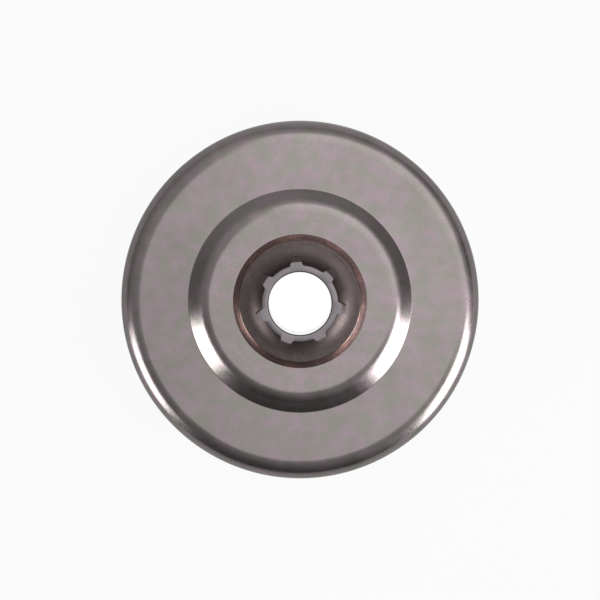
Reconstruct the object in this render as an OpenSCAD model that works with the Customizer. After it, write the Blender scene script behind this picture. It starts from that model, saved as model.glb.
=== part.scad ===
// Clutch drum of a chainsaw: a deep-drawn steel cup with a splined hub brazed through its raised centre.
// It stands on its open rim, with the axis along Z and the hub upwards. Lengths are in millimetres.

/* [Drum cup] */
// Outside diameter of the drum
drum_d = 75; // [68:0.5:90]
// Height from the open rim to the flat outer face
cup_h = 22; // [17:0.5:32]
// Thickness of the sheet at the closed end
sheet_t = 2.5; // [1.8:0.1:3.2]
// Thickness of the side wall, before its inside is turned
wall_t = 2.5; // [1.8:0.1:3.2]
// Inside radius of the bend between the end and the side wall
bend_inner_r = 1.6; // [0.6:0.1:3]
// Depth of the cut that turns the inside of the wall true for the clutch shoes
turned_cut = 0.15; // [0.05:0.05:0.4]
// Height of the wall next to the end that the turning tool leaves as drawn
turned_land = 3; // [1:0.5:6]
// Width of the chamfer on both edges of the open rim
lip_chamfer = 0.4; // [0.1:0.1:0.6]

/* [Raised centre] */
// Height of the raised centre above the flat outer face
step_h = 2.8; // [1.6:0.1:3.4]
// Diameter at the foot of the sloping wall
step_foot_d = 46.8; // [44:0.2:52]
// Slope of that wall from the flat face, in degrees
step_slope = 42; // [32:1:58]
// Outside radius where the slope rolls over into the raised centre
step_round_r = 3.9; // [1:0.1:4.4]
// Outside radius of the tight fillet at the foot of the slope
step_fillet_r = 0.3; // [0.1:0.1:0.8]

/* [Splined hub] */
// Diameter of the bore that the needle bearing runs in
bore_d = 13; // [10:0.1:13.8]
// Width of the chamfer at both ends of the bore
bore_chamfer = 0.2; // [0.1:0.05:0.6]
// Height of the hub's front face above the raised centre
hub_rise = 13.8; // [10:0.2:20]
// Number of spline teeth
tooth_count = 7; // [5:1:9]
// Diameter between the teeth
root_d = 15.7; // [15.5:0.1:16.8]
// Diameter across the tooth tips
tip_d = 19; // [18:0.1:20.4]
// Width of a tooth at its root
tooth_root_w = 2.8; // [2:0.1:3.6]
// Width of a tooth at its tip
tooth_tip_w = 1.5; // [0.9:0.1:1.9]
// Radius of the fillet between a tooth and the root
tooth_fillet_r = 0.3; // [0.15:0.05:0.4]
// How far the lead-in chamfer reaches down from the front face
lead_in_h = 1; // [0.4:0.1:2]
// How much of a tooth's height the lead-in chamfer takes at the front face
lead_in_w = 0.92; // [0.3:0.02:1]
// Diameter of the flange that seats on the raised centre
flange_d = 25.7; // [24.6:0.1:28]
// Thickness of the flange at its edge
flange_t = 0.9; // [0.6:0.1:2]
// Width of the chamfer on the flange's upper edge
flange_chamfer = 0.2; // [0.1:0.05:0.3]
// Radius of the cove that flares the splines out into the flange
cove_r = 4.2; // [1.5:0.1:6]
// Diameter of the spigot that passes through the cup
spigot_d = 18; // [16:0.1:20]
// How far the spigot stands out inside the cup
spigot_proud = 1; // [0.2:0.1:2.5]
// Width of the chamfer on the spigot's end
spigot_chamfer = 0.4; // [0.1:0.1:0.6]

/* [Braze] */
// Radial clearance round the spigot, which the molten braze creeps into
braze_gap = 0.05; // [0.02:0.01:0.1]
// Width of the braze fillet on the raised centre
braze_w = 1.15; // [0.6:0.05:1.6]
// Height of the braze fillet up the flange's edge
braze_h = 0.55; // [0.3:0.05:0.58]
// How far the face of the fillet is hollowed
braze_hollow = 0.08; // [0.03:0.01:0.12]

/* [Hidden] */
$fn = 128;

past = 1;            // how far a cut runs past the metal that it cuts
graze = 0.0005;      // how far a round bites into the faces it meets, so that they cross cleanly
overlap = 1.05;      // how much larger than its corner a round's sliver is drawn
tightest_r = 0.4;    // smallest inside radius that the drawing punch leaves

drum_r = drum_d / 2;
drawn_r = drum_r - wall_t;
friction_r = drawn_r + turned_cut;
inner_face_z = cup_h - sheet_t;
friction_h = inner_face_z - turned_land;

centre_z = cup_h + step_h;
slope_length = step_h / sin(step_slope);
outer_foot_r = step_foot_d / 2;
inner_foot_r = outer_foot_r - sheet_t * tan(step_slope / 2);

bore_r = bore_d / 2;
root_r = root_d / 2;
tip_r = tip_d / 2;
flange_r = flange_d / 2;
spigot_r = spigot_d / 2;
front_z = centre_z + hub_rise;
flange_z = centre_z + flange_t;
back_z = centre_z - sheet_t - spigot_proud;
flare_r = min(cove_r, flange_r - root_r - flange_chamfer);

function heading(angle) = [cos(angle), sin(angle)];

// The largest radius up to r whose round leaves part of the slope straight
function on_slope(r, share) = min(r, share * slope_length / tan(step_slope / 2));

// The sliver between a corner and the round of radius r that is tangent to both of its sides, drawn
// a little past the corner. Taken from an outside corner it rounds it, and added to an inside corner
// it fills it. The sides leave the corner at the angles from and to.
module corner_sliver(corner, from, to, r) {
    half = (to - from) / 2;
    reach = r / tan(half);
    centre = corner + r / sin(half) * heading(from + half);
    kite = [corner, corner + reach * heading(from), centre, corner + reach * heading(to)];
    difference() {
        polygon([for (point = kite) centre + overlap * (point - centre)]);
        translate(centre) circle(r + graze);
    }
}

// Half of the section under one skin of the cup, from bottom_z up to the raised centre.
// Both skins have this form, and the sheet is what lies between them.
module under_skin(bottom_z, wall_r, face_z, foot_r, bend_r, round_r, fillet_r) {
    foot = [foot_r, face_z];
    crest = foot + slope_length * heading(180 - step_slope);
    difference() {
        polygon([[0, bottom_z], [wall_r, bottom_z], [wall_r, face_z], foot, crest, [0, crest.y]]);
        corner_sliver([wall_r, face_z], 180, 270, bend_r);
        corner_sliver(crest, 180, 360 - step_slope, round_r);
    }
    corner_sliver(foot, 0, 180 - step_slope, fillet_r);
}

// A triangle that chamfers the edge of the rim at radius r, with side 1 outside and -1 inside
module lip_cut(r, side) {
    polygon([
        [r - side * (lip_chamfer + past), -past],
        [r + side * past, -past],
        [r + side * past, lip_chamfer + past],
    ]);
}

module cup_section() {
    difference() {
        under_skin(0, drum_r, cup_h, outer_foot_r, bend_inner_r + sheet_t,
            on_slope(step_round_r, 0.8), on_slope(step_fillet_r, 0.15));
        under_skin(-past, drawn_r, inner_face_z, inner_foot_r, bend_inner_r,
            on_slope(max(step_round_r - sheet_t, tightest_r), 0.3),
            on_slope(step_fillet_r + sheet_t, 0.6));
        translate([0, -past]) square([friction_r, friction_h + past]);
        square([spigot_r + braze_gap, centre_z + past]);
        lip_cut(drum_r, 1);
        lip_cut(friction_r, -1);
    }
}

module drum_cup() {
    color([0.58, 0.54, 0.55]) rotate_extrude() cup_section();
}

// Half of the hub's section without its teeth: spigot, flange, flared cove and root cylinder
module hub_section() {
    polygon([
        [bore_r + bore_chamfer, back_z],
        [spigot_r - spigot_chamfer, back_z],
        [spigot_r, back_z + spigot_chamfer],
        [spigot_r, centre_z],
        [flange_r, centre_z],
        [flange_r, flange_z - flange_chamfer],
        [flange_r - flange_chamfer, flange_z],
        [root_r, flange_z],
        [root_r, front_z],
        [bore_r + bore_chamfer, front_z],
        [bore_r, front_z - bore_chamfer],
        [bore_r, back_z + bore_chamfer],
    ]);
    corner_sliver([root_r, flange_z], 0, 90, flare_r);
}

// Outline of the tooth that points along +Y. Straight flanks run from the root to the tip, and a
// fillet on each side sits against both the flank and the root circle. The tip is left long, for
// tip_envelope() to trim.
module tooth_outline() {
    root = [tooth_root_w / 2, sqrt(pow(root_r, 2) - pow(tooth_root_w / 2, 2))];
    tip = [tooth_tip_w / 2, sqrt(pow(tip_r, 2) - pow(tooth_tip_w / 2, 2))];
    along = (tip - root) / norm(tip - root);
    away = [along.y, -along.x];
    beside = root + tooth_fillet_r * away;
    reach = root_r + tooth_fillet_r;
    climb = sqrt(pow(beside * along, 2) - beside * beside + pow(reach, 2)) - beside * along;
    centre = beside + climb * along;
    buried_r = (bore_r + root_r) / 2;
    right = [
        centre * buried_r / norm(centre),
        centre,
        centre - tooth_fillet_r * away,
        tip + past * along,
    ];
    difference() {
        polygon(concat(right, [for (i = [len(right) - 1:-1:0]) [-right[i].x, right[i].y]]));
        for (side = [-1, 1])
            translate([side * centre.x, centre.y]) circle(tooth_fillet_r + graze);
    }
}

// What the teeth are turned down to: the tip cylinder with the lead-in chamfer at its front
module tip_envelope() {
    rotate_extrude() polygon([
        [0, centre_z],
        [tip_r, centre_z],
        [tip_r, front_z - lead_in_h],
        [tip_r - lead_in_w, front_z],
        [0, front_z],
    ]);
}

module splined_hub() {
    color([0.52, 0.49, 0.49]) {
        rotate_extrude() hub_section();
        intersection() {
            for (i = [0:tooth_count - 1])
                rotate(i * 360 / tooth_count)
                    translate([0, 0, centre_z + flange_t / 2])
                        linear_extrude(hub_rise + past) tooth_outline();
            tip_envelope();
        }
    }
}

// Half of the section of the copper run round the flange: a corner fill with a hollow face, whose
// round passes through the tips of both legs
module braze_section() {
    corner = [flange_r, centre_z];
    outer = [braze_w, 0];
    upper = [0, braze_h];
    chord = norm(outer - upper);
    hollow_r = (pow(chord / 2, 2) + pow(braze_hollow, 2)) / (2 * braze_hollow);
    across = [braze_h, braze_w] / chord;
    translate(corner) difference() {
        polygon([[0, 0], overlap * outer, overlap * upper]);
        translate((outer + upper) / 2 + (hollow_r - braze_hollow) * across) circle(hollow_r);
    }
}

module braze_fillet() {
    color([0.45, 0.31, 0.26]) rotate_extrude() braze_section();
}

drum_cup();
splined_hub();
braze_fillet();
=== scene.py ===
"""A chainsaw's clutch drum, seen from straight above its splined hub. Lengths are in metres.

The drum stands on its open rim on a light table, inside a small light tent. Three pieces take the
places of the three solids: the drawn cup, the splined hub and the bead of copper braze round it.
"""

import math

import bmesh
import bpy
from mathutils import Matrix, Quaternion, Vector


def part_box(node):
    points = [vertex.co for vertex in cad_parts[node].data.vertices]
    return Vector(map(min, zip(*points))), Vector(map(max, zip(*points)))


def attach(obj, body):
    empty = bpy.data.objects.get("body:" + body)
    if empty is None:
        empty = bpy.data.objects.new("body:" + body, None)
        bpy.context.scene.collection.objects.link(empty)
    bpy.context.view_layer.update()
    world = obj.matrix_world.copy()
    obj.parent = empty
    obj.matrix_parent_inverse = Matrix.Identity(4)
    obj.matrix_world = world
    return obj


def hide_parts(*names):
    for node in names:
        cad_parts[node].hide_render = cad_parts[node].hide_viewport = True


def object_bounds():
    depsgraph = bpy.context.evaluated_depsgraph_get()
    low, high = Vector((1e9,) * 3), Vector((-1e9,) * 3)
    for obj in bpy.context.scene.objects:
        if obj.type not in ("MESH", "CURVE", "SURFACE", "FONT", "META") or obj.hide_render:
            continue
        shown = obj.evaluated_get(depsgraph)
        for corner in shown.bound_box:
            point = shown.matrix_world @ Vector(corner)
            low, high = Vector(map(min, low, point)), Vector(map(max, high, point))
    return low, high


bl_info = {
    "name": "Clutch drum",
    "version": (1, 0, 0),
    "blender": (4, 5, 0),
    "location": "3D View > Sidebar > Clutch drum",
    "description": "Makes a drawn steel clutch drum with a splined hub, and the table it is pictured on",
    "category": "Object",
}

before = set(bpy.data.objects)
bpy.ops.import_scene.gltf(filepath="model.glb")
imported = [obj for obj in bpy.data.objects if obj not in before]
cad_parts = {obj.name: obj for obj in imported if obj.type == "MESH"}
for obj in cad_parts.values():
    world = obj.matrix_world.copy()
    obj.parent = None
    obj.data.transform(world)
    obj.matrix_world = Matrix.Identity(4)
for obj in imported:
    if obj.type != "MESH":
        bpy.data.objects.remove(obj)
cad_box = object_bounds()

MM = 0.001
MICRON = 0.000001
CUP_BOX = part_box("drum_cup")
HUB_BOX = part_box("splined_hub")
BEAD_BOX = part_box("braze_fillet")

# How far the drum is turned in the picture, in degrees
PICTURE_TURN = 5.4
# What an area lamp needs for one unit of radiance from each square metre
WATTS_PER_RADIANCE = 4.0
# The shares of the table that glow for the camera and for a reflection, and where all of it glows
CAMERA_GLOW = 0.93
MIRRORED_GLOW = 0.15
OPEN_CENTRE = 20 * MM


def linear(code):
    """The linear colour of an sRGB hex value."""
    parts = [int(code[i : i + 2], 16) / 255 for i in (1, 3, 5)]
    return tuple(c / 12.92 if c <= 0.04045 else ((c + 0.055) / 1.055) ** 2.4 for c in parts)


def add(tree, kind, inputs=None, **settings):
    """Adds a node to a tree, with its settings, and sets or links its inputs by name or number."""
    node = tree.nodes.new(kind)
    for name, value in settings.items():
        setattr(node, name, value)
    for where, what in (inputs or {}).items():
        if isinstance(what, bpy.types.NodeSocket):
            tree.links.new(what, node.inputs[where])
        elif isinstance(what, tuple) and len(what) == 3 and node.inputs[where].type == "RGBA":
            node.inputs[where].default_value = (*what, 1)
        else:
            node.inputs[where].default_value = what
    return node


def heading(degrees):
    """The level unit vector at an angle of the picture, counted from its right-hand side in degrees."""
    turn = math.radians(degrees - PICTURE_TURN)
    return Vector((math.cos(turn), math.sin(turn), 0))


def length(name, description, default):
    return bpy.props.FloatProperty(
        name=name, description=description, default=default, unit="LENGTH", subtype="DISTANCE", precision=5
    )


def colour(name, description, code):
    return bpy.props.FloatVectorProperty(
        name=name, description=description, default=linear(code), size=3, subtype="COLOR", min=0, max=1
    )


def per_metre(millimetres):
    """How often a pattern of that size repeats in a metre."""
    return 1 / (millimetres * MM)


def count(name, description, default):
    return bpy.props.IntProperty(name=name, description=description, default=default, min=1)


def factor(name, description, default):
    return bpy.props.FloatProperty(name=name, description=description, default=default, min=0)


def angle(name, description, degrees):
    return bpy.props.FloatProperty(
        name=name, description=description, default=math.radians(degrees), subtype="ANGLE"
    )


class DrumCupSettings(bpy.types.PropertyGroup):
    """Sizes and colours of the drawn cup."""

    radius: length("Radius", "Outside radius of the drum", CUP_BOX[1].x)
    height: length("Height", "From the open rim to the flat outer face", 22.0 * MM)
    sheet: length("Sheet", "Thickness of the sheet and of the side wall as drawn", 2.5 * MM)
    bend: length("Bend", "Inside radius of the bend between the end and the side wall", 1.6 * MM)
    turned_cut: length("Turned cut", "Depth of the cut that trues the wall for the shoes", 0.15 * MM)
    turned_land: length("Drawn land", "Height of the wall that the turning tool leaves as drawn", 3.0 * MM)
    lip_chamfer: length("Rim chamfer", "Width of the chamfers on the open rim", 0.4 * MM)
    step_height: length("Step height", "Height of the raised centre", CUP_BOX[1].z - 22.0 * MM)
    step_foot: length("Step foot", "Radius of the foot of the sloping wall", 23.4 * MM)
    step_slope: angle("Step slope", "Slope of that wall from the flat face", 42)
    step_round: length("Step round", "Outside radius where the slope rolls into the raised centre", 3.9 * MM)
    step_fillet: length("Step fillet", "Outside radius of the fillet at the foot", 0.3 * MM)
    hole: length("Centre hole", "Radius of the hole for the hub's spigot", 9.05 * MM)
    steps_round: count("Steps round", "Faces round the drum", 360)
    cool_steel: colour("Cool steel", "Colour of the tumbled sheet where its scale came off", "#8d8984")
    warm_steel: colour("Warm steel", "Colour of the tumbled sheet where a trace of scale stays", "#95888d")
    turned_steel: colour("Turned steel", "Colour of the turned friction band", "#a9a6a4")


class SplinedHubSettings(bpy.types.PropertyGroup):
    """Sizes and colours of the splined hub."""

    bore: length("Bore", "Radius of the bore for the needle bearing", 6.5 * MM)
    bore_chamfer: length("Bore chamfer", "Width of the chamfer at both ends of the bore", 0.2 * MM)
    front: length("Front face", "Height of the front face", HUB_BOX[1].z)
    back: length("Back face", "Height of the spigot's end inside the cup", HUB_BOX[0].z)
    seat: length("Seat", "Height of the raised centre that the flange sits on", CUP_BOX[1].z)
    teeth: count("Teeth", "Number of spline teeth", 7)
    root: length("Root", "Radius between the teeth", 7.85 * MM)
    tip: length("Tip", "Radius at the tooth tips", 9.5 * MM)
    root_width: length("Root width", "Width of a tooth at its root", 2.8 * MM)
    tip_width: length("Tip width", "Width of a tooth at its tip", 1.5 * MM)
    tooth_fillet: length("Tooth fillet", "Radius between a tooth and the root", 0.3 * MM)
    lead_in_height: length("Lead-in height", "How far the lead-in reaches down the teeth", 1.0 * MM)
    lead_in_width: length("Lead-in width", "How much of a tooth's height it takes at the front", 0.92 * MM)
    flange: length("Flange", "Radius of the flange", HUB_BOX[1].x)
    flange_height: length("Flange thickness", "Thickness of the flange at its edge", 0.9 * MM)
    flange_chamfer: length("Flange chamfer", "Width of the chamfer on the flange's edge", 0.2 * MM)
    cove: length("Cove", "Radius of the cove that flares the splines into the flange", 4.2 * MM)
    spigot: length("Spigot", "Radius of the spigot through the cup", 9.0 * MM)
    spigot_chamfer: length("Spigot chamfer", "Width of the chamfer on the spigot's end", 0.4 * MM)
    edge_break: length("Edge break", "Width of the break on the outer edges", 0.07 * MM)
    ground_steel: colour("Ground steel", "Colour of the ground front face", "#827c80")
    browned_steel: colour("Browned steel", "Colour of the sintered flanks, cove and flange", "#5f5655")
    # Painted shade: this near-black colour on the bore's chamfers stands in for the shade at the mouth of the
    # bore
    painted_mouth_shade: colour("Painted mouth shade", "Colour of the chamfer at the mouth of the bore", "#2e2b2b")
    bore_steel: colour("Bore steel", "Colour of the finished bore", "#ebeae8")
    copper_edge: colour("Copper edge", "Colour of the flange's edge, which the braze has wetted", "#8f7066")


class BrazeBeadSettings(bpy.types.PropertyGroup):
    """Sizes and colours of the run of copper braze."""

    width: length("Width", "Width of the bead on the raised centre", BEAD_BOX[1].x - HUB_BOX[1].x)
    height: length("Height", "Height of the bead up the flange's edge", BEAD_BOX[1].z - BEAD_BOX[0].z)
    lump: length("Lump", "Size of the lumps along the bead", 2.5 * MM)
    unevenness: factor("Unevenness", "Share by which the bead swells and shrinks", 0.16)
    sunk: length("Sunk", "How far the bead reaches into the metal that it joins", 0.04 * MM)
    hollow: factor("Hollow", "Share by which the bead's face is hollowed", 0.10)
    grain_height: length("Grain height", "Height of the grain on the bead's face", 0.06 * MM)
    seed: count("Seed", "Seed of the lumps", 4)
    steps_round: count("Steps round", "Faces round the bead", 720)
    copper: colour("Oxidised copper", "Colour of the oxidised braze", "#5f4e4d")
    bare_copper: colour("Bare copper", "Colour where the oxide is thin", "#8c6c66")
    pit: colour("Pits", "Colour in the pits of the grain", "#3a2c2b")


class StageSettings(bpy.types.PropertyGroup):
    """The table, the tent, the lamps and the camera."""

    camera_distance: length("Camera distance", "From the table to the camera", 1.35)
    camera_tilt: angle("Camera tilt", "Lean of the line of sight from the drum's axis", 2.05)
    lens: factor("Lens", "Focal length in millimetres on a 36 mm sensor", 380.74)
    aim_height: length("Aim height", "Height on the axis that the camera aims at", 17.9 * MM)
    tent: length("Tent", "Radius of the light tent", 0.8)
    lamp_distance: length("Lamp distance", "From the axis to the softboxes", 0.5)
    left_lamp: factor("Left lamp", "Radiance of the left softbox", 5.0)
    right_lamp: factor("Right lamp", "Radiance of the right softbox", 6.0)
    top_lamp: factor("Top lamp", "Radiance that the overhead lamp adds to the tent's", 0.65)


def arc(centre, radius, start, end, steps):
    """Points on an arc in the section, with angles in radians."""
    turn = [start + (end - start) * i / steps for i in range(steps + 1)]
    return [(centre[0] + radius * math.cos(t), centre[1] + radius * math.sin(t)) for t in turn]


def skin(cup, foot, face, wall, bend, round_r, fillet_r):
    """One skin of the cup from its raised centre out and down: hole edge, round, slope, fillet, bend."""
    slope = cup.step_slope
    crest_r = foot - cup.step_height / math.tan(slope)
    crest_z = face + cup.step_height
    run = round_r * math.tan(slope / 2)
    creep = fillet_r * math.tan(slope / 2)
    points = [(cup.hole, crest_z)]
    points += arc((crest_r - run, crest_z - round_r), round_r, math.pi / 2, math.pi / 2 - slope, 20)
    points += arc((foot + creep, face + fillet_r), fillet_r, 3 * math.pi / 2 - slope, 3 * math.pi / 2, 10)
    points += arc((wall - bend, face - bend), bend, math.pi / 2, 0, 30)
    return points


def cup_section(cup):
    """The closed outline of the cup's wall as (radius, height), outer skin first."""
    wall_r = cup.radius - cup.sheet
    track_r = wall_r + cup.turned_cut
    inner_foot = cup.step_foot - cup.sheet * math.tan(cup.step_slope / 2)
    lip = cup.lip_chamfer
    face = cup.height
    bend = cup.bend + cup.sheet
    outer = skin(cup, cup.step_foot, face, cup.radius, bend, cup.step_round, cup.step_fillet)
    face = cup.height - cup.sheet
    under_round = cup.step_round - cup.sheet
    under_fillet = cup.step_fillet + cup.sheet
    inner = skin(cup, inner_foot, face, wall_r, cup.bend, under_round, under_fillet)
    land = cup.height - cup.sheet - cup.turned_land
    rim = [
        (cup.radius, lip),
        (cup.radius - lip, 0),
        (track_r + lip, 0),
        (track_r, lip),
        (track_r, land),
        (wall_r, land + cup.turned_cut * 0.3),
    ]
    return outer + rim + inner[::-1]


def closed_outline(name, points):
    """A closed mesh of edges through (outward, upward) points. A sweep takes a section's y as down."""
    mesh = bpy.data.meshes.new(name)
    edges = [(i, (i + 1) % len(points)) for i in range(len(points))]
    mesh.from_pydata([(x, -y, 0) for x, y in points], edges, [])
    return bpy.data.objects.new(name, mesh)


def bake_nodes(source, tree, values, name):
    """Runs a Geometry Nodes tree on an object and keeps the result as a plain mesh object."""
    bpy.context.scene.collection.objects.link(source)
    modifier = source.modifiers.new("maker", "NODES")
    modifier.node_group = tree
    for item in tree.interface.items_tree:
        if item.item_type == "SOCKET" and item.in_out == "INPUT" and item.name in values:
            modifier[item.identifier] = values[item.name]
    evaluated = source.evaluated_get(bpy.context.evaluated_depsgraph_get())
    mesh = bpy.data.meshes.new_from_object(evaluated)
    mesh.name = name
    bpy.data.objects.remove(source)
    made = bpy.data.objects.new(name, mesh)
    bpy.context.scene.collection.objects.link(made)
    return made


def new_tree(name, sockets):
    """A Geometry Nodes tree with named inputs. Each socket is (name, type)."""
    tree = bpy.data.node_groups.new(name, "GeometryNodeTree")
    tree.interface.new_socket("Geometry", in_out="INPUT", socket_type="NodeSocketGeometry")
    for label, kind in sockets:
        tree.interface.new_socket(label, in_out="INPUT", socket_type=kind)
    tree.interface.new_socket("Geometry", in_out="OUTPUT", socket_type="NodeSocketGeometry")
    given = add(tree, "NodeGroupInput")
    result = add(tree, "NodeGroupOutput")
    return tree, given.outputs, result


def revolve_tree():
    """Turns a section about the Z axis: the section's x is the distance from a circle of Path radius."""
    tree, given, result = new_tree(
        "revolve a section",
        [
            ("Path radius", "NodeSocketFloat"),
            ("Steps round", "NodeSocketInt"),
            ("Outer finish", "NodeSocketMaterial"),
            ("Turned finish", "NodeSocketMaterial"),
            ("Track radius", "NodeSocketFloat"),
            ("Track height", "NodeSocketFloat"),
        ],
    )
    section = add(tree, "GeometryNodeMeshToCurve", {"Mesh": given["Geometry"]})
    path = add(
        tree,
        "GeometryNodeCurvePrimitiveCircle",
        {"Resolution": given["Steps round"], "Radius": given["Path radius"]},
    )
    swept = add(
        tree,
        "GeometryNodeCurveToMesh",
        {"Curve": path.outputs["Curve"], "Profile Curve": section.outputs["Curve"]},
    )
    merged = add(
        tree, "GeometryNodeMergeByDistance", {"Geometry": swept.outputs["Mesh"], "Distance": 2 * MICRON}
    )
    smooth = add(tree, "GeometryNodeSetShadeSmooth", {"Geometry": merged.outputs["Geometry"]})
    real = add(tree, "GeometryNodeRealizeInstances", {"Geometry": smooth.outputs["Geometry"]})
    drawn = add(
        tree,
        "GeometryNodeSetMaterial",
        {"Geometry": real.outputs["Geometry"], "Material": given["Outer finish"]},
    )
    place = add(tree, "ShaderNodeSeparateXYZ", {0: add(tree, "GeometryNodeInputPosition").outputs[0]})
    level = add(tree, "ShaderNodeCombineXYZ", {0: place.outputs[0], 1: place.outputs[1]})
    out = add(tree, "ShaderNodeVectorMath", {0: level.outputs[0]}, operation="LENGTH")
    wide = add(
        tree, "ShaderNodeMath", {0: out.outputs["Value"], 1: given["Track radius"]}, operation="SUBTRACT"
    )
    near = add(tree, "ShaderNodeMath", {0: wide.outputs[0]}, operation="ABSOLUTE")
    on_track = add(tree, "ShaderNodeMath", {0: near.outputs[0], 1: 0.05 * MM}, operation="LESS_THAN")
    low = add(tree, "ShaderNodeMath", {0: place.outputs[2], 1: given["Track height"]}, operation="LESS_THAN")
    band = add(tree, "ShaderNodeMath", {0: on_track.outputs[0], 1: low.outputs[0]}, operation="MULTIPLY")
    turned = add(
        tree,
        "GeometryNodeSetMaterial",
        {
            "Geometry": drawn.outputs["Geometry"],
            "Selection": band.outputs[0],
            "Material": given["Turned finish"],
        },
    )
    tree.links.new(turned.outputs["Geometry"], result.inputs["Geometry"])
    return tree


def finish_piece(made, node, sharp_degrees=24):
    """Gives a finished mesh its sharp edges and its body, and hides the solid that it stands for."""
    made.data.set_sharp_from_angle(angle=math.radians(sharp_degrees))
    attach(made, "root")
    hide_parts(node)


def outward(mesh):
    """Makes a closed mesh's faces point outwards, once its doubles are merged."""
    work = bmesh.new()
    work.from_mesh(mesh)
    bmesh.ops.recalc_face_normals(work, faces=work.faces)
    work.to_mesh(mesh)
    work.free()


class CLUTCH_DRUM_OT_drum_cup(bpy.types.Operator):
    """Makes the deep-drawn cup as one true section turned about the axis"""

    bl_idname = "clutch_drum.drum_cup"
    bl_label = "Drum cup"

    def execute(self, context):
        cup = context.scene.drum_cup
        path_r = cup.step_foot
        section = [(r - path_r, z) for r, z in cup_section(cup)]
        values = {
            "Path radius": path_r,
            "Steps round": cup.steps_round,
            "Outer finish": tumbled_drawn_steel(cup),
            "Turned finish": turned_track_steel(cup),
            "Track radius": cup.radius - cup.sheet + cup.turned_cut,
            "Track height": cup.height - cup.sheet - cup.turned_land,
        }
        made = bake_nodes(closed_outline("cup section", section), revolve_tree(), values, "drawn_cup")
        outward(made.data)
        finish_piece(made, "drum_cup")
        return {"FINISHED"}


def on_flank(start, along, radius):
    """The point of the flank's line at a distance from the axis."""
    down = start.dot(along)
    return start + along * (math.sqrt(down * down - start.length_squared + radius * radius) - down)


def half_tooth(hub):
    """Points of half a tooth and half a gap as (radius, angle from the tooth's middle), in four runs."""
    root = Vector((hub.root_width / 2, math.sqrt(hub.root**2 - (hub.root_width / 2) ** 2)))
    tip = Vector((hub.tip_width / 2, math.sqrt(hub.tip**2 - (hub.tip_width / 2) ** 2)))
    along = (tip - root).normalized()
    away = Vector((along.y, -along.x))
    centre = on_flank(root + hub.tooth_fillet * away, along, hub.root + hub.tooth_fillet)
    touch = centre - hub.tooth_fillet * away
    crest = hub.tip - hub.lead_in_width

    def polar(point):
        return (point.length, math.atan2(point.x, point.y))

    corner = polar(tip)
    top = [(hub.tip, corner[1] * i / 6) for i in range(6)]
    flank_radii = [hub.tip + (crest - hub.tip) * i / 4 for i in range(4)]
    flank_radii += [crest + (touch.length - crest) * i / 3 for i in range(3)]
    flank = [polar(on_flank(root, along, r)) for r in flank_radii]
    from_flank = math.atan2(-away.y, -away.x)
    to_root = math.atan2(-centre.y, -centre.x)
    if to_root < from_flank - math.pi:
        to_root += 2 * math.pi
    if to_root > from_flank + math.pi:
        to_root -= 2 * math.pi
    bend = [
        centre + hub.tooth_fillet * Vector((math.cos(t), math.sin(t)))
        for t in (from_flank + (to_root - from_flank) * i / 5 for i in range(6))
    ]
    fillet = [polar(point) for point in bend]
    gap_from = fillet[-1][1]
    gap_to = math.pi / hub.teeth
    gap = [(hub.root, gap_from + (gap_to - gap_from) * i / 7) for i in range(1, 8)]
    return top, flank, fillet, gap


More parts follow.
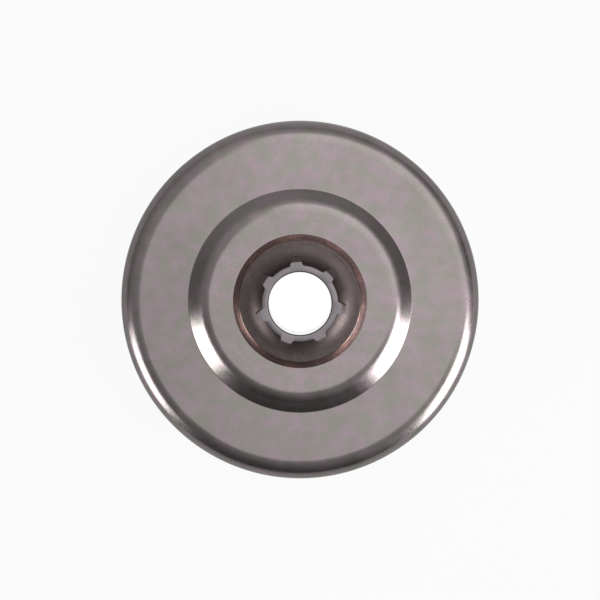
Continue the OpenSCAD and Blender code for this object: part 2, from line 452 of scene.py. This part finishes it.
def spline_sector(hub):
    """One tooth with half a gap on each side, from the bore out to the flange and back, in millimetres.

    Each point of the tooth's outline has its own column down the flank, so the flank ends exactly on
    the cove and on the lead-in cone.
    """
    top, flank, fillet, gap = half_tooth(hub)
    outline = top + flank + fillet + gap
    crest = hub.tip - hub.lead_in_width
    flange_z = hub.seat + hub.flange_height
    cove_centre = (hub.root + hub.cove, flange_z + hub.cove)
    work = bmesh.new()
    known = {}

    def vertex(radius, turn, z):
        key = (round(radius / MICRON), round(turn * 1e6), round(z / MICRON))
        if key not in known:
            point = (radius * math.sin(turn) / MM, radius * math.cos(turn) / MM, z / MM)
            known[key] = work.verts.new(point)
        return known[key]

    def face(corners):
        loop = [v for i, v in enumerate(corners) if v is not corners[i - 1]]
        if len(set(loop)) > 2:
            work.faces.new(loop)

    def lead_in_z(radius):
        return hub.front - max(0, radius - crest) / hub.lead_in_width * hub.lead_in_height

    def column(radius, turn):
        """Points down the outside from the front to the flange's underside."""
        start = math.acos(max(-1, min(1, (cove_centre[0] - radius) / hub.cove)))
        foot = cove_centre[1] - hub.cove * math.sin(start)
        head = lead_in_z(radius)
        points = [(radius, head + (foot - head) * i / 8) for i in range(8)]
        for i in range(15):
            t = start + (math.pi / 2 - start) * i / 14
            points.append((cove_centre[0] - hub.cove * math.cos(t), cove_centre[1] - hub.cove * math.sin(t)))
        points += [
            (hub.flange - hub.flange_chamfer, flange_z),
            (hub.flange, flange_z - hub.flange_chamfer),
            (hub.flange, hub.seat),
        ]
        return [vertex(r, turn, z) for r, z in points]

    def inside(turn):
        """Points from the flange's underside round the spigot, up the bore and to the front face."""
        points = [(hub.spigot, hub.seat), (hub.spigot, hub.back + hub.spigot_chamfer)]
        points += [(hub.spigot - hub.spigot_chamfer, hub.back), (hub.bore + hub.bore_chamfer, hub.back)]
        points += [(hub.bore, hub.back + hub.bore_chamfer), (hub.bore, hub.front - hub.bore_chamfer)]
        points += [(hub.bore + hub.bore_chamfer, hub.front), (hub.root, hub.front)]
        return [vertex(r, turn, z) for r, z in points]

    for side in (1, -1):
        columns = [column(r, side * turn) for r, turn in outline]
        for left, right in zip(columns, columns[1:]):
            for i in range(len(left) - 1):
                corners = [left[i], left[i + 1], right[i + 1], right[i]]
                face(corners[::side])
        spans = len(top)
        rows = flank + fillet
        for (r1, a1), (r2, a2) in zip(rows, rows[1:]):
            for i in range(spans):
                near = [side * a1 * i / spans, side * a1 * (i + 1) / spans]
                far = [side * a2 * i / spans, side * a2 * (i + 1) / spans]
                corners = [
                    vertex(r1, near[0], lead_in_z(r1)),
                    vertex(r1, near[1], lead_in_z(r1)),
                    vertex(r2, far[1], lead_in_z(r2)),
                    vertex(r2, far[0], lead_in_z(r2)),
                ]
                face(corners[::side])
        edge = fillet[-1][1]
        turns = [side * edge * i / spans for i in range(spans + 1)] + [side * turn for _, turn in gap]
        rings = [inside(turn) for turn in turns]
        for left, right in zip(rings, rings[1:]):
            for i in range(len(left) - 1):
                corners = [left[i], left[i + 1], right[i + 1], right[i]]
                face(corners[::side])
        under = [c[-1] for c in columns] + [ring[0] for ring in rings[::-1]]
        face(under[::side])
    mesh = bpy.data.meshes.new("spline sector")
    work.to_mesh(mesh)
    work.free()
    return bpy.data.objects.new("spline sector", mesh)


def repeat_round_tree():
    """Repeats a sector round the Z axis, closes the seams, and gives each region its finish."""
    tree, given, result = new_tree(
        "repeat round the axis",
        [
            ("Teeth", "NodeSocketInt"),
            ("Seam", "NodeSocketFloat"),
            ("Front height", "NodeSocketFloat"),
            ("Bore radius", "NodeSocketFloat"),
            ("Mouth radius", "NodeSocketFloat"),
            ("Edge radius", "NodeSocketFloat"),
            ("Flank finish", "NodeSocketMaterial"),
            ("Face finish", "NodeSocketMaterial"),
            ("Mouth shade", "NodeSocketMaterial"),
            ("Bore finish", "NodeSocketMaterial"),
            ("Edge finish", "NodeSocketMaterial"),
        ],
    )
    points = add(tree, "GeometryNodePoints", {"Count": given["Teeth"]})
    step = add(tree, "ShaderNodeMath", {0: math.tau, 1: given["Teeth"]}, operation="DIVIDE")
    number = add(tree, "GeometryNodeInputIndex")
    turn = add(tree, "ShaderNodeMath", {0: number.outputs[0], 1: step.outputs[0]}, operation="MULTIPLY")
    about_z = add(tree, "ShaderNodeCombineXYZ", {2: turn.outputs[0]})
    placed = add(
        tree,
        "GeometryNodeInstanceOnPoints",
        {"Points": points.outputs[0], "Instance": given["Geometry"], "Rotation": about_z.outputs[0]},
    )
    real = add(tree, "GeometryNodeRealizeInstances", {"Geometry": placed.outputs[0]})
    whole = add(tree, "GeometryNodeMergeByDistance", {"Geometry": real.outputs[0], "Distance": given["Seam"]})
    smooth = add(tree, "GeometryNodeSetShadeSmooth", {"Geometry": whole.outputs[0]})
    flanks = add(
        tree, "GeometryNodeSetMaterial", {"Geometry": smooth.outputs[0], "Material": given["Flank finish"]}
    )
    place = add(tree, "ShaderNodeSeparateXYZ", {0: add(tree, "GeometryNodeInputPosition").outputs[0]})
    at_front = add(
        tree, "ShaderNodeMath", {0: place.outputs[2], 1: given["Front height"]}, operation="GREATER_THAN"
    )
    front = add(
        tree,
        "GeometryNodeSetMaterial",
        {"Geometry": flanks.outputs[0], "Selection": at_front.outputs[0], "Material": given["Face finish"]},
    )
    level = add(tree, "ShaderNodeCombineXYZ", {0: place.outputs[0], 1: place.outputs[1]})
    out = add(tree, "ShaderNodeVectorMath", {0: level.outputs[0]}, operation="LENGTH")
    last = front
    for limit, side, finish in (
        ("Mouth radius", "LESS_THAN", "Mouth shade"),
        ("Bore radius", "LESS_THAN", "Bore finish"),
        ("Edge radius", "GREATER_THAN", "Edge finish"),
    ):
        chosen = add(tree, "ShaderNodeMath", {0: out.outputs["Value"], 1: given[limit]}, operation=side)
        last = add(
            tree,
            "GeometryNodeSetMaterial",
            {"Geometry": last.outputs[0], "Selection": chosen.outputs[0], "Material": given[finish]},
        )
    tree.links.new(last.outputs[0], result.inputs["Geometry"])
    return tree


def break_edges(mesh, width, least_degrees):
    """Bevels the outer edges that are sharper than an angle, in the mesh's own unit."""
    work = bmesh.new()
    work.from_mesh(mesh)
    bmesh.ops.recalc_face_normals(work, faces=work.faces)
    sharp = [
        edge
        for edge in work.edges
        if len(edge.link_faces) == 2 and edge.calc_face_angle_signed() > math.radians(least_degrees)
    ]
    bmesh.ops.bevel(
        work,
        geom=sharp,
        offset=width,
        offset_type="OFFSET",
        segments=2,
        profile=0.5,
        affect="EDGES",
        clamp_overlap=True,
        material=-1,
    )
    work.to_mesh(mesh)
    work.free()


class CLUTCH_DRUM_OT_splined_hub(bpy.types.Operator):
    """Makes one tooth's sector of the hub, repeats it round the axis and breaks its edges"""

    bl_idname = "clutch_drum.splined_hub"
    bl_label = "Splined hub"

    def execute(self, context):
        hub = context.scene.splined_hub
        values = {
            "Teeth": hub.teeth,
            "Seam": 0.001,
            "Front height": hub.front / MM - 0.02,
            "Bore radius": hub.bore / MM + 0.02,
            "Mouth radius": (hub.bore + hub.bore_chamfer) / MM - 0.02,
            "Edge radius": (hub.flange - hub.flange_chamfer) / MM + 0.02,
            "Flank finish": browned_sintered_steel(hub),
            "Face finish": ground_sintered_steel(hub),
            # The bore's chamfers take a near-black colour that is painted shade
            "Mouth shade": mouth_painted_shade_material(hub),
            "Bore finish": reamed_bore_steel(hub),
            "Edge finish": copper_wet_edge(hub),
        }
        made = bake_nodes(spline_sector(hub), repeat_round_tree(), values, "splined_hub_sintered")
        break_edges(made.data, hub.edge_break / MM, 30)
        made.data.transform(Matrix.Scale(MM, 4))
        finish_piece(made, "splined_hub")
        return {"FINISHED"}


def bead_section(bead):
    """The bead's outline from the corner between flange and raised centre, sunk a little into both."""
    face = []
    for i in range(9):
        t = i / 8
        left = 1 - bead.hollow * math.sin(math.pi * t)
        face.append((bead.width * (1 - t) * left, bead.height * t * left))
    return [(-bead.sunk, -bead.sunk), (bead.width, -bead.sunk), *face, (-bead.sunk, bead.height)]


def bead_tree():
    """Sweeps the bead's outline round the flange, swelling and shrinking it and roughening its face."""
    tree, given, result = new_tree(
        "braze bead",
        [
            ("Flange radius", "NodeSocketFloat"),
            ("Seat height", "NodeSocketFloat"),
            ("Steps round", "NodeSocketInt"),
            ("Lumps per metre", "NodeSocketFloat"),
            ("Unevenness", "NodeSocketFloat"),
            ("Grain height", "NodeSocketFloat"),
            ("Seed", "NodeSocketInt"),
            ("Finish", "NodeSocketMaterial"),
        ],
    )
    section = add(tree, "GeometryNodeMeshToCurve", {"Mesh": given["Geometry"]})
    ring = add(
        tree,
        "GeometryNodeCurvePrimitiveCircle",
        {"Resolution": given["Steps round"], "Radius": given["Flange radius"]},
    )
    place = add(tree, "GeometryNodeInputPosition")
    lumps = add(
        tree,
        "ShaderNodeTexNoise",
        {"Vector": place.outputs[0], "W": given["Seed"], "Scale": given["Lumps per metre"], "Detail": 3.0},
        noise_dimensions="4D",
    )
    signed = add(tree, "ShaderNodeMath", {0: lumps.outputs[0], 1: 0.5}, operation="SUBTRACT")
    swing = add(tree, "ShaderNodeMath", {0: signed.outputs[0], 1: given["Unevenness"]}, operation="MULTIPLY")
    swell = add(tree, "ShaderNodeMath", {0: swing.outputs[0], 1: 4.0, 2: 0.94}, operation="MULTIPLY_ADD")
    path = add(tree, "GeometryNodeSetCurveRadius", {"Curve": ring.outputs[0], "Radius": swell.outputs[0]})
    swept = add(
        tree, "GeometryNodeCurveToMesh", {"Curve": path.outputs[0], "Profile Curve": section.outputs[0]}
    )
    seat = add(tree, "ShaderNodeCombineXYZ", {2: given["Seat height"]})
    raised = add(tree, "GeometryNodeSetPosition", {"Geometry": swept.outputs[0], "Offset": seat.outputs[0]})
    merged = add(tree, "GeometryNodeMergeByDistance", {"Geometry": raised.outputs[0], "Distance": MICRON})
    grain = add(
        tree,
        "ShaderNodeTexNoise",
        {"Vector": place.outputs[0], "W": given["Seed"], "Scale": per_metre(0.4), "Detail": 2.0},
        noise_dimensions="4D",
    )
    bump = add(tree, "ShaderNodeMath", {0: grain.outputs[0], 1: 0.5}, operation="SUBTRACT")
    high = add(tree, "ShaderNodeMath", {0: bump.outputs[0], 1: given["Grain height"]}, operation="MULTIPLY")
    normal = add(tree, "GeometryNodeInputNormal")
    push = add(
        tree, "ShaderNodeVectorMath", {0: normal.outputs[0], "Scale": high.outputs[0]}, operation="SCALE"
    )
    rough = add(tree, "GeometryNodeSetPosition", {"Geometry": merged.outputs[0], "Offset": push.outputs[0]})
    smooth = add(tree, "GeometryNodeSetShadeSmooth", {"Geometry": rough.outputs[0]})
    real = add(tree, "GeometryNodeRealizeInstances", {"Geometry": smooth.outputs[0]})
    done = add(tree, "GeometryNodeSetMaterial", {"Geometry": real.outputs[0], "Material": given["Finish"]})
    tree.links.new(done.outputs[0], result.inputs["Geometry"])
    return tree


class CLUTCH_DRUM_OT_braze_bead(bpy.types.Operator):
    """Sweeps the run of copper braze round the hub's flange"""

    bl_idname = "clutch_drum.braze_bead"
    bl_label = "Braze bead"

    def execute(self, context):
        bead = context.scene.braze_bead
        hub = context.scene.splined_hub
        values = {
            "Flange radius": hub.flange,
            "Seat height": hub.seat,
            "Steps round": bead.steps_round,
            "Lumps per metre": 1 / bead.lump,
            "Unevenness": bead.unevenness,
            "Grain height": bead.grain_height,
            "Seed": bead.seed,
            "Finish": oxidised_copper_braze(bead),
        }
        section = closed_outline("bead section", bead_section(bead))
        made = bake_nodes(section, bead_tree(), values, "braze_bead")
        outward(made.data)
        finish_piece(made, "braze_fillet", 60)
        return {"FINISHED"}


def new_material(name):
    """An empty material with its output, and the point that its patterns read."""
    material = bpy.data.materials.new(name)
    material.use_nodes = True
    tree = material.node_tree
    tree.nodes.clear()
    output = add(tree, "ShaderNodeOutputMaterial")
    place = add(tree, "ShaderNodeTexCoord").outputs["Object"]
    return material, tree, output, place


def around(hue, spread):
    """A colour, darkened and lightened by the same share."""
    return tuple(c * (1 - spread) for c in hue), tuple(c * (1 + spread) for c in hue)


def finish_metal(tree, output, base, rough, relief, depth):
    """Joins a metal's colour, roughness and relief of a real depth to its output."""
    bump = add(tree, "ShaderNodeBump", {"Strength": 1.0, "Distance": depth, "Height": relief})
    shader = add(
        tree,
        "ShaderNodeBsdfPrincipled",
        {"Base Color": base, "Metallic": 1.0, "Roughness": rough, "Normal": bump.outputs[0]},
    )
    tree.links.new(shader.outputs[0], output.inputs["Surface"])


def tumbled_drawn_steel(cup):
    """Mild steel sheet, deep drawn and tumbled: a fine satin grey with soft, faint mottling."""
    material, tree, output, place = new_material("tumbled deep-drawn steel")
    # The media leave a fine grain, whose facets glint one by one near a lamp's reflection.
    grain = add(
        tree,
        "ShaderNodeTexNoise",
        {"Vector": place, "Scale": per_metre(0.2222), "Detail": 1.5, "Roughness": 0.6},
    )
    # Rolled scale comes off unevenly, in soft patches a few millimetres across.
    mottle = add(
        tree,
        "ShaderNodeTexNoise",
        {"Vector": place, "Scale": per_metre(6.25), "Detail": 6.0, "Roughness": 0.62},
    )
    patch = add(
        tree,
        "ShaderNodeTexNoise",
        {"Vector": place, "Scale": per_metre(3.0303), "Detail": 3.0, "Roughness": 0.5},
    )
    tint = add(tree, "ShaderNodeMapRange", {0: patch.outputs[0], 1: 0.4, 2: 0.62})
    toned = add(
        tree,
        "ShaderNodeMix",
        {0: tint.outputs[0], 6: tuple(cup.cool_steel), 7: tuple(cup.warm_steel)},
        data_type="RGBA",
    )
    shade = add(tree, "ShaderNodeMapRange", {0: mottle.outputs[0], 1: 0.3, 2: 0.7, 3: 0.90, 4: 1.10})
    speck = add(tree, "ShaderNodeMapRange", {0: grain.outputs[0], 1: 0.3, 2: 0.7, 3: 0.93, 4: 1.07})
    depth = add(tree, "ShaderNodeMath", {0: shade.outputs[0], 1: speck.outputs[0]}, operation="MULTIPLY")
    base = add(
        tree, "ShaderNodeVectorMath", {0: toned.outputs[2], "Scale": depth.outputs[0]}, operation="SCALE"
    )
    rough = add(tree, "ShaderNodeMapRange", {0: mottle.outputs[0], 1: 0.3, 2: 0.7, 3: 0.22, 4: 0.28})
    finish_metal(tree, output, base.outputs[0], rough.outputs[0], grain.outputs[0], 8 * MICRON)
    return material


def turned_track_steel(cup):
    """The wall's inside, turned true for the shoes: bright, with fine rings along the feed."""
    material, tree, output, place = new_material("turned friction track")
    rings = add(
        tree,
        "ShaderNodeTexWave",
        {"Vector": place, "Scale": per_metre(0.18) / math.tau * 2, "Distortion": 0.4, "Detail": 2.0},
        bands_direction="Z",
    )
    finish_metal(tree, output, tuple(cup.turned_steel), 0.28, rings.outputs[1], 4 * MICRON)
    return material


def browned_sintered_steel(hub):
    """Sintered steel browned in the brazing furnace: open grain, darker than the sheet, warm in tone."""
    material, tree, output, place = new_material("furnace-browned sintered steel")
    grain = add(
        tree,
        "ShaderNodeTexNoise",
        {"Vector": place, "Scale": per_metre(0.27778), "Detail": 3.0, "Roughness": 0.65},
    )
    cloud = add(
        tree,
        "ShaderNodeTexNoise",
        {"Vector": place, "Scale": per_metre(2.0), "Detail": 4.0, "Roughness": 0.6},
    )
    dark, pale = around(hub.browned_steel, 0.25)
    base = add(tree, "ShaderNodeMix", {0: cloud.outputs[0], 6: dark, 7: pale}, data_type="RGBA")
    open_grain = add(tree, "ShaderNodeMapRange", {0: grain.outputs[0], 1: 0.3, 2: 0.7, 3: 0.75, 4: 1.25})
    speck = add(
        tree, "ShaderNodeVectorMath", {0: base.outputs[2], "Scale": open_grain.outputs[0]}, operation="SCALE"
    )
    finish_metal(tree, output, speck.outputs[0], 0.48, grain.outputs[0], 22 * MICRON)
    return material


def ground_sintered_steel(hub):
    """The hub's front face, ground flat after brazing: an even mid grey with very fine grain."""
    material, tree, output, place = new_material("ground sintered face")
    grain = add(
        tree,
        "ShaderNodeTexNoise",
        {"Vector": place, "Scale": per_metre(0.2222), "Detail": 2.0, "Roughness": 0.5},
    )
    dark, pale = around(hub.ground_steel, 0.1)
    tone = add(tree, "ShaderNodeMix", {0: grain.outputs[0], 6: dark, 7: pale}, data_type="RGBA")
    finish_metal(tree, output, tone.outputs[2], 0.33, grain.outputs[0], 1.5 * MICRON)
    return material


def mouth_painted_shade_material(hub):
    """The chamfer at each mouth of the bore, coloured near black: painted shade that makes the dark ring
    round the hole.
    """
    material, tree, output, place = new_material("painted shade on bore chamfer")
    grain = add(
        tree,
        "ShaderNodeTexNoise",
        {"Vector": place, "Scale": per_metre(0.2222), "Detail": 2.0, "Roughness": 0.5},
    )
    # The near-black base colour is painted shade, not the steel's own colour
    finish_metal(tree, output, tuple(hub.painted_mouth_shade), 0.4, grain.outputs[0], 2 * MICRON)
    return material


def copper_wet_edge(hub):
    """The flange's edge, wetted by the copper that ran round it: warm, smoother than the sinter."""
    material, tree, output, place = new_material("copper-wetted edge")
    grain = add(
        tree,
        "ShaderNodeTexNoise",
        {"Vector": place, "Scale": per_metre(0.45455), "Detail": 2.0, "Roughness": 0.6},
    )
    run = add(
        tree,
        "ShaderNodeTexNoise",
        {"Vector": place, "Scale": per_metre(3.3333), "Detail": 3.0, "Roughness": 0.6},
    )
    wet = add(tree, "ShaderNodeMapRange", {0: run.outputs[0], 1: 0.38, 2: 0.62})
    tone = add(
        tree,
        "ShaderNodeMix",
        {0: wet.outputs[0], 6: tuple(hub.browned_steel), 7: tuple(hub.copper_edge)},
        data_type="RGBA",
    )
    finish_metal(tree, output, tone.outputs[2], 0.3, grain.outputs[0], 8 * MICRON)
    return material


def reamed_bore_steel(hub):
    """The bore, finished smooth for the needles, with hair-fine rings."""
    material, tree, output, place = new_material("reamed bore")
    drawn_out = (per_metre(5), per_metre(5), per_metre(0.16667))
    stretched = add(tree, "ShaderNodeMapping", {"Vector": place, "Scale": drawn_out})
    rings = add(tree, "ShaderNodeTexNoise", {"Vector": stretched.outputs[0], "Scale": 1.0, "Detail": 2.0})
    finish_metal(tree, output, tuple(hub.bore_steel), 0.08, rings.outputs[0], 1 * MICRON)
    return material


def oxidised_copper_braze(bead):
    """Copper from the brazing furnace, oxidised to dark brown, paler in patches and dark in its pits."""
    material, tree, output, place = new_material("oxidised copper braze")
    grain = add(
        tree,
        "ShaderNodeTexNoise",
        {"Vector": place, "Scale": per_metre(0.28571), "Detail": 3.0, "Roughness": 0.65},
    )
    patch = add(
        tree,
        "ShaderNodeTexNoise",
        {"Vector": place, "Scale": per_metre(3.84615), "Detail": 3.0, "Roughness": 0.55},
    )
    bare = add(tree, "ShaderNodeMapRange", {0: patch.outputs[0], 1: 0.48, 2: 0.72, 3: 0.0, 4: 0.8})
    base = add(
        tree,
        "ShaderNodeMix",
        {0: bare.outputs[0], 6: tuple(bead.copper), 7: tuple(bead.bare_copper)},
        data_type="RGBA",
    )
    in_pit = add(tree, "ShaderNodeMapRange", {0: grain.outputs[0], 1: 0.55, 2: 0.35, 3: 0.0, 4: 0.6})
    pitted = add(
        tree,
        "ShaderNodeMix",
        {0: in_pit.outputs[0], 6: base.outputs[2], 7: tuple(bead.pit)},
        data_type="RGBA",
    )
    finish_metal(tree, output, pitted.outputs[2], 0.45, grain.outputs[0], 15 * MICRON)
    return material


def light_table_acrylic():
    """The translucent top of a light table: white to the eye, and it still takes a faint shadow.

    A share of it glows, more for the camera than for a reflection, and the rest is lit from above.
    Under the drum's open centre all of it glows, as a lit table does.
    """
    material, tree, output, place = new_material("light table acrylic")
    path = add(tree, "ShaderNodeLightPath")
    mirrored = add(
        tree,
        "ShaderNodeMath",
        {0: path.outputs["Is Glossy Ray"], 1: path.outputs["Is Transmission Ray"]},
        operation="MAXIMUM",
    )
    in_metal = add(tree, "ShaderNodeMath", {0: mirrored.outputs[0], 1: MIRRORED_GLOW}, operation="MULTIPLY")
    to_camera = add(
        tree, "ShaderNodeMath", {0: path.outputs["Is Camera Ray"], 1: CAMERA_GLOW}, operation="MULTIPLY"
    )
    share = add(
        tree, "ShaderNodeMath", {0: in_metal.outputs[0], 1: to_camera.outputs[0]}, operation="MAXIMUM"
    )
    out = add(tree, "ShaderNodeVectorMath", {0: place}, operation="LENGTH")
    centre = add(
        tree, "ShaderNodeMath", {0: out.outputs["Value"], 1: OPEN_CENTRE}, operation="LESS_THAN"
    )
    any_view = add(
        tree,
        "ShaderNodeMath",
        {0: mirrored.outputs[0], 1: path.outputs["Is Camera Ray"]},
        operation="MAXIMUM",
    )
    full = add(
        tree, "ShaderNodeMath", {0: centre.outputs[0], 1: any_view.outputs[0]}, operation="MULTIPLY"
    )
    glow_share = add(tree, "ShaderNodeMath", {0: share.outputs[0], 1: full.outputs[0]}, operation="MAXIMUM")
    lit = add(tree, "ShaderNodeBsdfDiffuse", {"Color": linear("#b4b4b4")})
    glow = add(tree, "ShaderNodeEmission", {"Color": linear("#ffffff"), "Strength": 1.0})
    mixed = add(
        tree, "ShaderNodeMixShader", {0: glow_share.outputs[0], 1: lit.outputs[0], 2: glow.outputs[0]}
    )
    tree.links.new(mixed.outputs[0], output.inputs["Surface"])
    return material


def tent_fabric():
    """The light tent's fabric, lit from outside: bright at the crown, dark low down."""
    material, tree, output, place = new_material("light tent fabric")
    way = add(tree, "ShaderNodeVectorMath", {0: place}, operation="NORMALIZE")
    high = add(tree, "ShaderNodeSeparateXYZ", {0: way.outputs[0]})
    low_side = add(
        tree, "ShaderNodeVectorMath", {0: way.outputs[0], 1: heading(105)}, operation="DOT_PRODUCT"
    )
    half = add(
        tree, "ShaderNodeMath", {0: low_side.outputs["Value"], 1: 0.5, 2: 0.5}, operation="MULTIPLY_ADD"
    )
    swell = add(tree, "ShaderNodeMath", {0: half.outputs[0], 1: 3.0}, operation="POWER")
    low = add(tree, "ShaderNodeMath", {0: swell.outputs[0], 1: 0.36, 2: 0.08}, operation="MULTIPLY_ADD")
    crown_side = add(
        tree, "ShaderNodeVectorMath", {0: way.outputs[0], 1: heading(62)}, operation="DOT_PRODUCT"
    )
    crown = add(
        tree, "ShaderNodeMath", {0: crown_side.outputs["Value"], 1: 0.45, 2: 0.52}, operation="MULTIPLY_ADD"
    )
    rise = add(
        tree, "ShaderNodeMapRange", {0: high.outputs[2], 1: 0.05, 2: 0.85}, interpolation_type="SMOOTHSTEP"
    )
    tone = add(
        tree, "ShaderNodeMix", {0: rise.outputs[0], 2: low.outputs[0], 3: crown.outputs[0]}, data_type="FLOAT"
    )
    glow = add(tree, "ShaderNodeEmission", {"Strength": tone.outputs[0]})
    tree.links.new(glow.outputs[0], output.inputs["Surface"])
    return material


def area_lamp(name, centre, target, wide, tall, radiance, roll=0):
    """A rectangular lamp that faces a point and that the camera doesn't see."""
    lamp = bpy.data.lights.new(name, "AREA")
    lamp.shape = "RECTANGLE"
    lamp.size = wide
    lamp.size_y = tall
    lamp.energy = radiance * WATTS_PER_RADIANCE * wide * tall
    holder = bpy.data.objects.new(name, lamp)
    holder.location = centre
    holder.rotation_mode = "QUATERNION"
    facing = (Vector(target) - Vector(centre)).to_track_quat("-Z", "Y")
    holder.rotation_quaternion = facing @ Quaternion((0, 0, 1), math.radians(roll))
    holder.visible_camera = False
    bpy.context.scene.collection.objects.link(holder)


def stage_mesh(name, work, material):
    """A stage object from a bmesh."""
    mesh = bpy.data.meshes.new(name)
    work.to_mesh(mesh)
    work.free()
    mesh.materials.append(material)
    made = bpy.data.objects.new(name, mesh)
    bpy.context.scene.collection.objects.link(made)
    return made


class CLUTCH_DRUM_OT_stage(bpy.types.Operator):
    """Makes the light table, the tent, the lamps, the world and the camera"""

    bl_idname = "clutch_drum.stage"
    bl_label = "Stage"

    def execute(self, context):
        stage = context.scene.drum_stage
        table = bmesh.new()
        bmesh.ops.create_grid(table, x_segments=1, y_segments=1, size=4.0)
        stage_mesh("light_table", table, light_table_acrylic()).location.z = -0.02 * MM
        dome = bmesh.new()
        bmesh.ops.create_uvsphere(dome, u_segments=64, v_segments=48, radius=stage.tent)
        below = [v for v in dome.verts if v.co.z < -0.001]
        bmesh.ops.delete(dome, geom=below, context="VERTS")
        tent = stage_mesh("light_tent", dome, tent_fabric())
        tent.visible_camera = False
        tent.visible_shadow = False
        # Each softbox by the angles, in degrees, at which the drum's middle sees it
        for name, turn, wide, low, high, roll, radiance in (
            ("left_softbox", 207.5, 26, -3, 31, 0, stage.left_lamp),
            ("right_softbox", 332.5, 32, -3, 42, -10, stage.right_lamp),
        ):
            bottom = stage.lamp_distance * math.tan(math.radians(low))
            top = stage.lamp_distance * math.tan(math.radians(high))
            breadth = 2 * stage.lamp_distance * math.tan(math.radians(wide / 2))
            middle = Vector((0, 0, (bottom + top) / 2 + cad_box[1].z / 2))
            centre = heading(turn) * stage.lamp_distance + middle
            area_lamp(name, centre, middle, breadth, top - bottom, radiance, roll)
        above = heading(45) * 0.25 + Vector((0, 0, 0.38))
        area_lamp("overhead_lamp", above, Vector((above.x, above.y, 0)), 0.5, 0.5, stage.top_lamp)
        self.light_world(context)
        self.place_camera(context, stage)
        return {"FINISHED"}

    def light_world(self, context):
        world = bpy.data.worlds.new("white studio")
        world.use_nodes = True
        context.scene.world = world
        tree = world.node_tree
        tree.nodes.clear()
        path = add(tree, "ShaderNodeLightPath")
        mirrored = add(
            tree,
            "ShaderNodeMath",
            {0: path.outputs["Is Glossy Ray"], 1: path.outputs["Is Transmission Ray"]},
            operation="MAXIMUM",
        )
        seen = add(
            tree,
            "ShaderNodeMath",
            {0: mirrored.outputs[0], 1: path.outputs["Is Camera Ray"]},
            operation="MAXIMUM",
        )
        strength = add(tree, "ShaderNodeMapRange", {0: seen.outputs[0], 3: 0.4, 4: 1.0})
        sky = add(
            tree, "ShaderNodeBackground", {"Color": linear("#ffffff"), "Strength": strength.outputs[0]}
        )
        add(tree, "ShaderNodeOutputWorld", {"Surface": sky.outputs[0]})

    def place_camera(self, context, stage):
        up = heading(90)
        aim = Vector((0, 0, stage.aim_height))
        back = up * math.sin(stage.camera_tilt) + Vector((0, 0, math.cos(stage.camera_tilt)))
        data = bpy.data.cameras.new("camera")
        data.lens = stage.lens
        data.sensor_width = 36
        data.clip_start = 0.1
        data.clip_end = 20
        camera = bpy.data.objects.new("camera", data)
        context.scene.collection.objects.link(camera)
        context.scene.camera = camera
        camera.location = aim + back * (stage.camera_distance - stage.aim_height)
        right = up.cross(back).normalized()
        top = back.cross(right)
        turn = Matrix((right, top, back)).transposed()
        camera.rotation_mode = "QUATERNION"
        camera.rotation_quaternion = turn.to_quaternion()
        context.scene.view_settings.view_transform = "Standard"


class VIEW3D_PT_clutch_drum(bpy.types.Panel):
    """Lists the steps that make the drum and its stage"""

    bl_label = "Clutch drum"
    bl_idname = "VIEW3D_PT_clutch_drum"
    bl_space_type = "VIEW_3D"
    bl_region_type = "UI"
    bl_category = "Clutch drum"

    def draw(self, context):
        for step in STEPS:
            self.layout.operator(step.bl_idname)


SETTINGS = {
    "drum_cup": DrumCupSettings,
    "splined_hub": SplinedHubSettings,
    "braze_bead": BrazeBeadSettings,
    "drum_stage": StageSettings,
}
STEPS = (
    CLUTCH_DRUM_OT_drum_cup,
    CLUTCH_DRUM_OT_splined_hub,
    CLUTCH_DRUM_OT_braze_bead,
    CLUTCH_DRUM_OT_stage,
)
CLASSES = (*SETTINGS.values(), *STEPS, VIEW3D_PT_clutch_drum)


def register():
    for made in CLASSES:
        bpy.utils.register_class(made)
    for name, settings in SETTINGS.items():
        setattr(bpy.types.Scene, name, bpy.props.PointerProperty(type=settings))


def unregister():
    for name in SETTINGS:
        delattr(bpy.types.Scene, name)
    for made in reversed(CLASSES):
        bpy.utils.unregister_class(made)


def main():
    register()
    bpy.ops.clutch_drum.drum_cup()
    bpy.ops.clutch_drum.splined_hub()
    bpy.ops.clutch_drum.braze_bead()
    bpy.ops.clutch_drum.stage()


if __name__ == "__main__":
    main()
